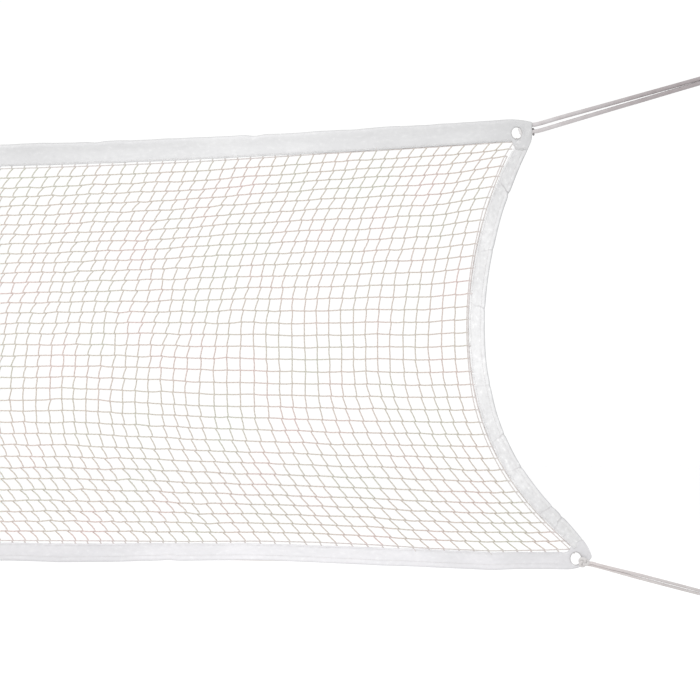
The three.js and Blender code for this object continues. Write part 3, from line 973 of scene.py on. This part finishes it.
class Strip:
    """A tape folded along one edge round a cord. fold and free are its edges, (n, 2)."""

    def __init__(self, fold, free, bulge, flat, seed, pucker=0.35 * MM):
        self.fold, self.free = fold, free
        self.far = distances(fold)
        self.depth = np.linalg.norm(free - fold, axis=1)
        self.across = (free - fold) / self.depth[:, None]
        self.bulge = np.minimum(np.broadcast_to(bulge, len(fold)), self.depth / 4.6)
        self.flat = np.minimum(flat, self.bulge)
        self.seed = seed
        self.pucker = pucker
        self.cords = []  # (line, radius) of cords that the cloth tents over
        self.ends = False  # whether its two ends curve in along the side tapes' outer edges

    def out(self, depth, i):
        """Half thickness at a depth, at stations i."""
        bulge, flat = self.bulge[i], self.flat[i]
        share = depth / bulge
        table = np.where(
            np.arange(len(BULGE_OUT)) < EASED,
            BULGE_OUT * bulge[..., None],
            flat[..., None] + BULGE_OUT * (bulge - flat)[..., None],
        )
        result = np.empty_like(share)
        for index in np.ndindex(share.shape):
            result[index] = np.interp(share[index], BULGE_DEPTH, table[index])
        return result

    def creases(self, far, depth, face):
        """Small folds: across the tape near its seam, and along it elsewhere."""
        seam = hump(depth, self.seam_depth(far), 7 * MM)
        gather = wobble(far, depth * 0.3, 0.010, self.seed + 1 + face) * self.pucker * (0.35 + seam)
        long = wobble(far * 0.35, depth * 1.6, 0.03, self.seed + 4 + face) * self.pucker * 0.8
        return gather + long

    def tented(self, out, x, z, thin=0.0):
        """The half thickness, lifted over the cords that lie inside."""
        for line, radius in self.cords:
            near = np.full(np.shape(x), np.inf)
            for px, pz in line:
                near = np.minimum(near, (x - px) ** 2 + (z - pz) ** 2)
            lift = radius * np.exp(-near / (1.5 * radius**2)) - thin
            out = np.where(near < (2 * radius) ** 2, np.maximum(out, lift), out)
        return out

    def shaped(self, place):
        """Places (x, z), with those at the ends drawn in along the side tapes' edges."""
        if not self.ends:
            return place
        x, z = place[..., 0], place[..., 1]
        edge = np.interp(z, SIDE_OUTER[::-1, 1], SIDE_OUTER[::-1, 0])
        edge = np.where(z > SIDE_OUTER[0, 1], HALF_SPAN, edge)
        share = smoothstep((np.abs(x) - 1.5) / (HALF_SPAN - 1.5))
        return np.stack([x - np.sign(x) * share * (HALF_SPAN - edge), z], -1)

    def seam_depth(self, far):
        return np.interp(far, self.far, self.depth) - 3 * MM

    def surface(self, far, depth, face):
        """Points on the outer face: face is -1 for the front and 1 for the back."""
        fold, across = (points_at(far, self.far, line) for line in (self.fold, self.across))
        i = np.clip(np.searchsorted(self.far, far), 0, len(self.far) - 1)
        out = self.out(depth, i) + self.creases(far, depth, face)
        place = self.shaped(fold + across * depth[..., None])
        out = self.tented(out, place[..., 0], place[..., 1])
        return np.stack([place[..., 0], face * out, place[..., 1]], -1)

    def layers(self, face):
        """The points of one ply's outer and inner surfaces, from the fold to the free edge."""
        deep = self.bulge[:, None] * BULGE_DEPTH[None, 1:]
        rest = np.linspace(0, 1, FLAT_STEPS + 1)[None, 1:]
        flat = deep[:, -1:] + (self.depth[:, None] - deep[:, -1:]) * rest
        depth = np.concatenate([deep, flat], 1)
        far = np.repeat(self.far[:, None], depth.shape[1], 1)
        out = self.out(depth, np.repeat(np.arange(len(self.fold))[:, None], depth.shape[1], 1))
        crease = self.creases(far, depth, face) * np.clip(depth / (3 * MM), 0, 1)
        centre = self.bulge[:, None]
        curved = depth < centre
        thinner = np.where(curved, 1 - PLY / centre, 1)
        inner_depth = np.where(curved, centre - (centre - depth) * thinner, depth)
        inner = np.maximum(out * thinner - np.where(curved, 0, PLY), 0.15 * MM) + crease
        outer_points = self.points(depth, out + crease, face, 0.0)
        return outer_points, self.points(inner_depth, inner, face, PLY)

    def points(self, depth, out, face, thin):
        place = self.shaped(self.fold[:, None] + self.across[:, None] * depth[..., None])
        out = self.tented(out, place[..., 0], place[..., 1], thin)
        return np.stack([place[..., 0], face * out, place[..., 1]], -1)

    def mesh(self, name):
        """The closed mesh of both plies, with a thickness."""
        count = len(self.fold)
        fold = flat_to_world(self.fold)[:, None]
        fold_inner = flat_to_world(self.fold + self.across * PLY)[:, None]
        front, front_inner = self.layers(-1)
        back, back_inner = self.layers(1)
        outer = np.concatenate([front[:, ::-1], fold, back], 1)
        inner = np.concatenate([front_inner[:, ::-1], fold_inner, back_inner], 1)
        width = outer.shape[1]
        ring = 2 * width
        k = np.arange(width - 1)
        start = np.stack([k, k + 1, ring - 2 - k, ring - 1 - k], -1)
        end = (count - 1) * ring + start[:, ::-1]
        quads = np.concatenate([ring_faces(count, ring)[:, [0, 3, 2, 1]], start, end])
        around = distances(outer[count // 2])
        around = around - around[width // 2]
        v = np.concatenate([around, around[::-1]])
        uvs = columns_of(self.far[:, None], v[None]).reshape(-1, 2)
        loop = np.concatenate([outer, inner[:, ::-1]], 1)
        thing = make_mesh(name, loop.reshape(-1, 3), quads, uvs)
        reworked(thing.data, face_outwards)
        return thing


def oval(x, z, wide, high, tilt, turn):
    """Points (x, z) on a tilted oval, at those angles."""
    rim_x, rim_z = wide * np.cos(turn), high * np.sin(turn)
    c, s = math.cos(tilt), math.sin(tilt)
    return np.stack([x + rim_x * c - rim_z * s, z + rim_x * s + rim_z * c], 1)


def punch(thing, holes, sides=40, reach=20 * MM):
    """Cuts round holes through a tape. holes are (x, z, radius x, radius z, tilt)."""
    for hole in holes:
        ring = oval(*hole, np.linspace(0, 2 * math.pi, sides, endpoint=False))
        mesh = bpy.data.meshes.new("punch")
        front, back = (flat_to_world(ring, y).tolist() for y in (-reach, reach))
        walls = [((k + 1) % sides, k, k + sides, (k + 1) % sides + sides) for k in range(sides)]
        ends = [tuple(range(sides)), tuple(range(2 * sides - 1, sides - 1, -1))]
        mesh.from_pydata(front + back, [], walls + ends)
        reworked(mesh, face_outwards)
        tool = placed("punch", mesh)
        cut = thing.modifiers.new("hole", "BOOLEAN")
        cut.operation = "DIFFERENCE"
        cut.solver = "EXACT"
        cut.object = tool
        apply_modifiers(thing)
        bpy.data.objects.remove(tool)


def apply_modifiers(thing):
    graph = bpy.context.evaluated_depsgraph_get()
    mesh = bpy.data.meshes.new_from_object(thing.evaluated_get(graph))
    thing.modifiers.clear()
    thing.data = mesh


# Along one stitch: how far, how high above the cloth and how thick, in millimetres.
STITCH = ((-0.06, -0.25, 0.12), (0.14, 0.2, 0.3), (0.5, 0.3, 0.36), (0.86, 0.2, 0.3), (1.06, -0.25, 0.12))


def stitches(name, rows):
    """Short stitches lying on a tape. rows are arrays of (start, end, outwards), (n, 3) each."""
    parts = []
    for start, end, outwards in rows:
        places = [start + (end - start) * share + outwards * rise * MM for share, rise, _ in STITCH]
        thick = [size * MM for _, _, size in STITCH]
        parts.append(tubes(np.stack(places, 1), thick, 5))
    return dress(make_mesh(name, *joined(parts)), SEWING)


def seam(strip, depth, face, pitch=4.2 * MM, length=3.1 * MM, ends=6 * MM):
    """A line of stitches along a strip at a depth, which may change along it."""
    far = np.arange(strip.far[0] + ends, strip.far[-1] - ends, pitch)
    deep = depth(far) if callable(depth) else np.full(len(far), depth)
    deep_after = depth(far + length) if callable(depth) else deep
    start = strip.surface(far, deep, face)
    end = strip.surface(far + length, deep_after, face)
    outwards = np.zeros_like(start)
    outwards[:, 1] = face
    return start, end, outwards


# The corner holes as the cloth is cut: x, z, half width and half height.
HEAD_CUT = (HEAD_HOLE[0] - 0.5 * MM, HEAD_HOLE[1], 9.6 * MM, 10.6 * MM)
FOOT_CUT = (FOOT_HOLE[0] + 0.6 * MM, FOOT_HOLE[1], 9.9 * MM, 11.6 * MM)
HEAD_TILT = 0.12  # in radians
RIM_HALF_THICK = 2.6 * MM


def hole_stitching(name, cut, tilt, sign, body):
    """Overcast thread wound over the edge of a corner hole."""
    x, z, wide, high = cut
    turns = 34
    t = np.linspace(0, 2 * math.pi, turns * 14)
    reach = 1.0 * MM * np.cos(t * turns) + 0.7 * MM
    line = flat_to_world(oval(x, z, wide + reach, high + reach, tilt, t) * (sign, 1))
    line[:, 1] = RIM_HALF_THICK * np.sin(t * turns)
    thread = make_mesh(name, *frame_tube(line, 0.5 * MM, 5))
    dress(capped(thread), RIM_THREAD)
    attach(thread, body)


def mouth_shadow_thread(side, sign):
    """Balls of near-black thread where the head tie leaves the tape: painted shadow at the tape's mouth."""
    draw = np.random.default_rng(17)
    t = np.linspace(0, 2 * math.pi * 5, 90)
    size = 1.5 + 0.3 * np.sin(t * 0.37)
    ball = size[:, None] * np.stack([np.cos(t) * np.cos(t * 0.31), np.sin(t * 0.31 + 1), np.sin(t)], 1)
    parts = []
    for centre in ((1527.2, -1.2, 35.2), (1527.9, -1.2, 25.2)):
        line = (centre + ball + draw.normal(0, 0.08, ball.shape)) * MM
        parts.append(frame_tube(mirrored(line, sign), 0.5 * MM, 6))
    thread = make_mesh(f"mouth_shadow_thread_{side}", *joined(parts))
    dress(capped(thread), MOUTH_SHADOW_THREAD)
    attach(thread, "head")


def edge_noise(far, seed, size=0.06, amount=0.5 * MM):
    return wobble(far, far * 0.2, size, seed) * amount


# The head tie's own end inside the tape: from the mouth, and up along the corner hole.
TIE_END = ((1523.6, 31), (1516.5, 25), (1511, 22.8), (1507, 26.5), (1504.5, 32), (1502.5, 37))
HEAD_FLAT = 1.7 * MM
HEAD_BULGE = 5.2 * MM
HEAD_DIPS = (734, 1024, -612, -1130)  # where the fold is pressed down, in millimetres
HEAD_RISE = 1262 * MM  # where it stands a little higher, at each end
HEAD_CALM = 1420 * MM  # from here on the head tape's edges are smooth
FOOT_CALM = 1500 * MM
CALM_EASE = 60 * MM
TAIL_START = 1488 * MM  # from here on the tape runs down to TAIL_Z, beside the side tape's top
TAIL_Z = -3 * MM


def head_strip():
    """The head tape: its ends follow the side tapes, and its corners run down as tails."""
    x = np.unique(np.concatenate([
        np.arange(-1440, 1441, 6), np.linspace(1440, 1525, 34), -np.linspace(1440, 1525, 34),
    ])) * MM
    top = head_edge(x)
    for centre in HEAD_DIPS:
        top = top - 2.4 * MM * hump(x, centre * MM, 13 * MM)
    top = top + 1.6 * MM * hump(np.abs(x), HEAD_RISE, 45 * MM)
    calm = 1 - smoothstep((np.abs(x) - HEAD_CALM) / CALM_EASE)
    top = top + calm * (wobble(x, x * 0.3, 0.11, 31) * 0.7 * MM + wobble(x, x * 0.2, 0.035, 32) * 0.25 * MM)
    free = head_edge(x) - HEAD_TAPE + calm * edge_noise(x, 33)
    tail = smoothstep((np.abs(x) - TAIL_START) / (8 * MM))
    free = free * (1 - tail) + TAIL_Z * tail
    fold_line = np.stack([x, top], 1)
    free_line = np.stack([x, free], 1)
    strip = Strip(fold_line, free_line, HEAD_BULGE, HEAD_FLAT, 40)
    strip.ends = True
    for sign in SIDES.values():
        line = spline(flat_to_world(np.array(TIE_END) * MM), 0.8 * MM)[:, (0, 2)]
        strip.cords.append((line * (sign, 1), 4.9 * MM))
    return strip


def head_tape():
    strip = head_strip()
    tape = strip.mesh("head_tape_cloth")
    punch(tape, [(sign * HEAD_CUT[0], *HEAD_CUT[1:], sign * HEAD_TILT) for sign in (1, -1)])
    dress(tape, HEAD_CLOTH)
    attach(tape, "head")
    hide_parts("head_tape")
    stitching = stitches("head_stitching", [seam(strip, strip.seam_depth, face) for face in (-1, 1)])
    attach(stitching, "head")


def side_strip(sign):
    keep = (SIDE_OUTER[:, 1] < SIDE_TOP) & (SIDE_OUTER[:, 1] > SIDE_FOOT)
    outer = resampled(SIDE_OUTER[keep], 2.5 * MM)
    far = distances(outer)
    inwards = directions(outer)[:, ::-1] * (1, -1)
    share = far / far[-1]
    width = SIDE_TAPE - SIDE_NARROWING * np.abs(2 * share - 1) ** 6
    width = width + edge_noise(far, 51 + sign, 0.03, 0.7 * MM)
    tucked = edge_noise(far, 61 + sign, 0.045, 0.6 * MM) + 1.5 * MM * (1 - smoothstep(far / (14 * MM)))
    for z, _, dark in SIDE_CREASES:
        tucked = tucked + 1.8 * MM * dark * hump(far, side_far(z * MM), 4 * MM)
    fold = outer + inwards * tucked[:, None]
    free = outer + inwards * width[:, None]
    ends = smoothstep((far - 12 * MM) / (25 * MM)) * smoothstep((far[-1] - far) / (30 * MM))
    bulge = (1.5 + 1.1 * ends) * MM
    fold[:, 0] *= sign
    free[:, 0] *= sign
    return Strip(fold, free, bulge, 1.35 * MM, 70 + sign, pucker=0.8 * MM)


def side_tape(side, sign):
    strip = side_strip(sign)
    tape = dress(strip.mesh(f"side_tape_{side}_cloth"), SIDE_CLOTH)
    hang(tape)
    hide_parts(f"side_tape_{side}")
    rows = [seam(strip, strip.seam_depth, face) for face in (-1, 1)]
    rows += [seam(strip, 8 * MM, face) for face in (-1, 1)]
    hang(stitches(f"side_stitching_{side}", rows))


# How the foot tape's lower edge waves: along the net, and up.
FOOT_WAVES = (
    (0, -1), (90, -0.3), (210, 1.4), (330, 0.2), (430, -1.4), (520, -0.4), (590, -1.2), (668, -3.4),
    (741, -2.8), (777, -1.6), (813, -0.2), (900, 0.6), (960, 2.2), (995, 3.4), (1050, 3.2),
    (1104, 2.4), (1177, 0.8), (1249, -0.4), (1394, -0.2), (1467, 0.6), (1503, 1.8), (1550, 2.2),
    (1583, 1.4),
)
FOOT_PUCKER = 865 * MM
# The foot corner's upper edge, from the straight tape to the side tape's outer edge.
FOOT_CORNER_TOP = ((1583, -733), (1591, -731), (1597.5, -720.5), (1608, -713))


def foot_strip():
    corner_t = np.linspace(0, 0.97, 22)
    corner_low = bezier(FOOT_CORNER, corner_t)
    crest = SIDE_OUTER[(SIDE_OUTER[:, 1] < -708 * MM)]
    upper = np.concatenate([np.array(FOOT_CORNER_TOP) * MM, crest])
    upper = resampled(upper, 0.5 * MM)
    corner_high = upper[np.round(corner_t * (len(upper) - 1)).astype(int)]
    x = np.arange(0, 1583, 6) * MM
    waves = looked_up(x / MM, FOOT_WAVES) * MM + wobble(x, x * 0.3, 0.1, 81) * 0.3 * MM
    calm = 1 - smoothstep((x - FOOT_CALM) / CALM_EASE)
    pucker = 1.6 * MM * hump(x, FOOT_PUCKER, 12 * MM)
    low = np.stack([x, foot_edge(x) + waves + pucker], 1)
    high = np.stack([x, foot_edge(x) + FOOT_TAPE + 0.5 * waves + calm * edge_noise(x, 82)], 1)
    fold = np.concatenate([low, corner_low])
    free = np.concatenate([high, corner_high])

    def both(line):
        other = line[1:] * (-1, 1)
        return np.concatenate([other[::-1], line])

    fold, free = both(fold), both(free)
    near_tip = smoothstep((np.abs(fold[:, 0]) - 1.6) / 0.03)
    bulge = (4.1 - 0.5 * near_tip) * MM
    return Strip(fold, free, bulge, 1.7 * MM, 90, pucker=0.5 * MM)


def foot_tape():
    strip = foot_strip()
    tape = strip.mesh("foot_tape_cloth")
    punch(tape, [(sign * FOOT_CUT[0], *FOOT_CUT[1:], 0.0) for sign in (1, -1)])
    dress(tape, FOOT_CLOTH)
    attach(tape, "panel")
    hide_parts("foot_tape")
    straight = 34 * MM

    def upper(far):
        return np.minimum(strip.seam_depth(far), straight)

    rows = [seam(strip, upper, face, ends=70 * MM) for face in (-1, 1)]
    rows += [seam(strip, 10 * MM, face, ends=70 * MM) for face in (-1, 1)]
    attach(stitches("foot_stitching", rows), "panel")


head_tape()
for side, sign in SIDES.items():
    side_tape(side, sign)
foot_tape()

# ---- cords inside the tapes, and the knots --------------------------------------------------
PLAIN_BRAID = braided("plain_braid", (0.6, 0.56, 0.55), (0.58, 0.54, 0.53), 1.0)
KNOT_BRAID = braided("knot_braid", (0.54, 0.525, 0.52), (0.53, 0.515, 0.51), 1.0)
# lighter than the head tie's own braid: painted light on the tie's end inside the head tape
TUCKED_BRAID = braided("tucked_braid", (0.63, 0.625, 0.625), (0.62, 0.615, 0.615), 1.0)

HEAD_CORD_END = 1516 * MM
FOOT_CORD_BEND = 1586 * MM  # where the foot cord turns up into the corner
SIDE_CORD_ENDS = (-9 * MM, -700 * MM)


def hidden_cord(node, line, diameter, mounting):
    cord = capped(make_mesh(f"{node}_braid", *tubes(line[None], diameter / 2, 14)))
    dress(cord, PLAIN_BRAID)
    mounting(cord)
    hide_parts(node)


def cords_in_tapes():
    x = np.linspace(-HEAD_CORD_END, HEAD_CORD_END, 320)
    line = flat_to_world(np.stack([x, head_edge(x) - 6.2 * MM], 1))
    hidden_cord("head_cord", line, HEAD_CORD, lambda cord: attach(cord, "head"))
    x = np.linspace(-FOOT_CORD_BEND, FOOT_CORD_BEND, 320)
    inside = np.stack([x, foot_edge(x) + 5.1 * MM], 1)
    ends = np.array([(1612, -755.4), (1622, -755.2)]) * MM
    line = flat_to_world(np.concatenate([ends[::-1] * (-1, 1), inside, ends]))
    line = spline(line[::8], 5 * MM)
    hidden_cord("foot_cord", line, FOOT_CORD, lambda cord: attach(cord, "panel"))
    for side, sign in SIDES.items():
        keep = (SIDE_OUTER[:, 1] < SIDE_CORD_ENDS[0]) & (SIDE_OUTER[:, 1] > SIDE_CORD_ENDS[1])
        line = side_inset(3.3 * MM)[keep]
        line = resampled(line, 6 * MM) * (sign, 1)
        hidden_cord(f"side_cord_{side}", flat_to_world(line), SIDE_CORD, hang)


def tie_end(side, sign):
    """The head tie's own end, from the mouth to behind the corner hole."""
    line = spline(flat_to_world(np.array(TIE_END) * MM), 0.9 * MM)
    end = capped(make_mesh(f"head_tie_end_{side}_cord", *braid(mirrored(line, sign), HEAD_CORD, 24)))
    dress(end, TUCKED_BRAID)
    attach(end, "head")
    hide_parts(f"head_tie_end_{side}")


KNOT_CORD = 5.8 * MM  # the cord is squeezed wider where it is knotted
KNOT_CENTRE = np.array([1617.6, -8.2, -749.8])  # in millimetres


def knot(side, sign):
    """An overhand knot of the foot cord, in front of the corner hole."""
    t = np.linspace(0, 2 * math.pi, 190, endpoint=False)
    big, small = 5.0, 2.9
    loop = np.stack([
        (big + small * np.cos(3 * t)) * np.cos(2 * t),
        2.1 * np.sin(3 * t),
        (big + small * np.cos(3 * t)) * np.sin(2 * t) * 0.9,
    ], 1)
    line = (KNOT_CENTRE + loop) * MM
    line = mirrored(np.concatenate([line, line[:1]]), sign)
    body = make_mesh(f"foot_knot_{side}_cord", *frame_tube(line, KNOT_CORD / 2, 16, closed=True))
    dress(body, KNOT_BRAID)
    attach(body, "panel")
    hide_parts(f"foot_knot_{side}")


cords_in_tapes()
for side, sign in SIDES.items():
    tie_end(side, sign)
    knot(side, sign)
    mouth_shadow_thread(side, sign)
    hole_stitching(f"head_hole_stitching_{side}", HEAD_CUT, HEAD_TILT, sign, "head")
    hole_stitching(f"foot_hole_stitching_{side}", FOOT_CUT, 0.0, sign, "panel")

# ---- floor and light ------------------------------------------------------------------------


def studio():
    world = bpy.data.worlds.new("studio")
    bpy.context.scene.world = world
    world.use_nodes = True
    world.node_tree.nodes["Background"].inputs["Color"].default_value = (1, 1, 1, 1)
    world.node_tree.nodes["Background"].inputs["Strength"].default_value = 1.03
    bpy.context.scene.view_settings.view_transform = "Standard"

    mesh = bpy.data.meshes.new("floor")
    size, level = 12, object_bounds()[0].z - 0.45
    corners = [(-size, -size, level), (size, -size, level), (size, size, level), (-size, size, level)]
    mesh.from_pydata(corners, [], [(0, 1, 2, 3)])
    floor = placed("floor", mesh)
    n = Nodes("floor", Roughness=0.9)
    n.shader.inputs["Base Color"].default_value = (0.97, 0.97, 0.97, 1)
    n.shader.inputs["Specular IOR Level"].default_value = 0.1
    floor.data.materials.append(n.material)
    floor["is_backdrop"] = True

    def area(name, place, size, power, aim):
        light = placed(name, bpy.data.lights.new(name, "AREA"))
        light.data.shape = "RECTANGLE"
        light.data.size, light.data.size_y = size
        light.data.energy = power
        light.location = place
        light.rotation_euler = (Vector(aim) - Vector(place)).to_track_quat("-Z", "Y").to_euler()

    area("key", (-1.2, -3.2, 2.6), (2.5, 2.5), 95, (0.9, 0, -0.4))
    area("fill", (3.6, 2.6, 1.6), (2.5, 2.5), 30, (0, 0, -0.4))


studio()
